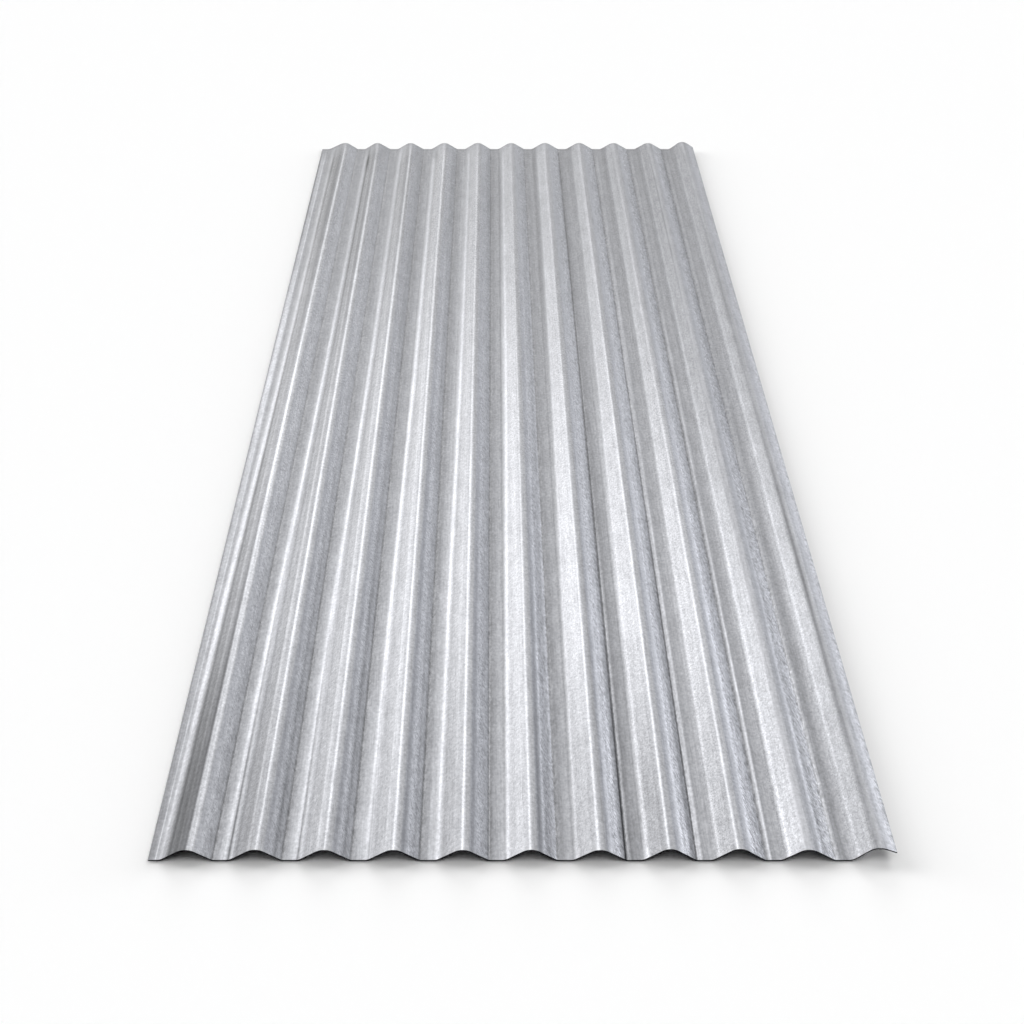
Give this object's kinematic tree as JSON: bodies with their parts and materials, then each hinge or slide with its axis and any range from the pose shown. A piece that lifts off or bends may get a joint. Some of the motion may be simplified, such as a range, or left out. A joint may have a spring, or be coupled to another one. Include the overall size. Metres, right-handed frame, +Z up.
{
  "type": "corrugated metal sheet",
  "caption": "Long galvanised steel sheet rolled into even round-crested waves with flat pans, one side edge ending in a pan and the other past a raised crest.",
  "frame": {"origin": "middle of the sheet's outline, on the plane that the undersides of the pans lie on", "axes": "+X across the waves, from the underlap edge to the overlap edge; +Y along the waves; +Z up, out of the crests"},
  "size_m": [0.8232, 2.44, 0.0175],
  "materials": {
    "galvanised_steel": "hot-dip galvanised, fine spangle, semi-bright"
  },
  "bodies": {
    "root": {"corrugated_sheet": "galvanised_steel"}
  },
  "joints": []
}
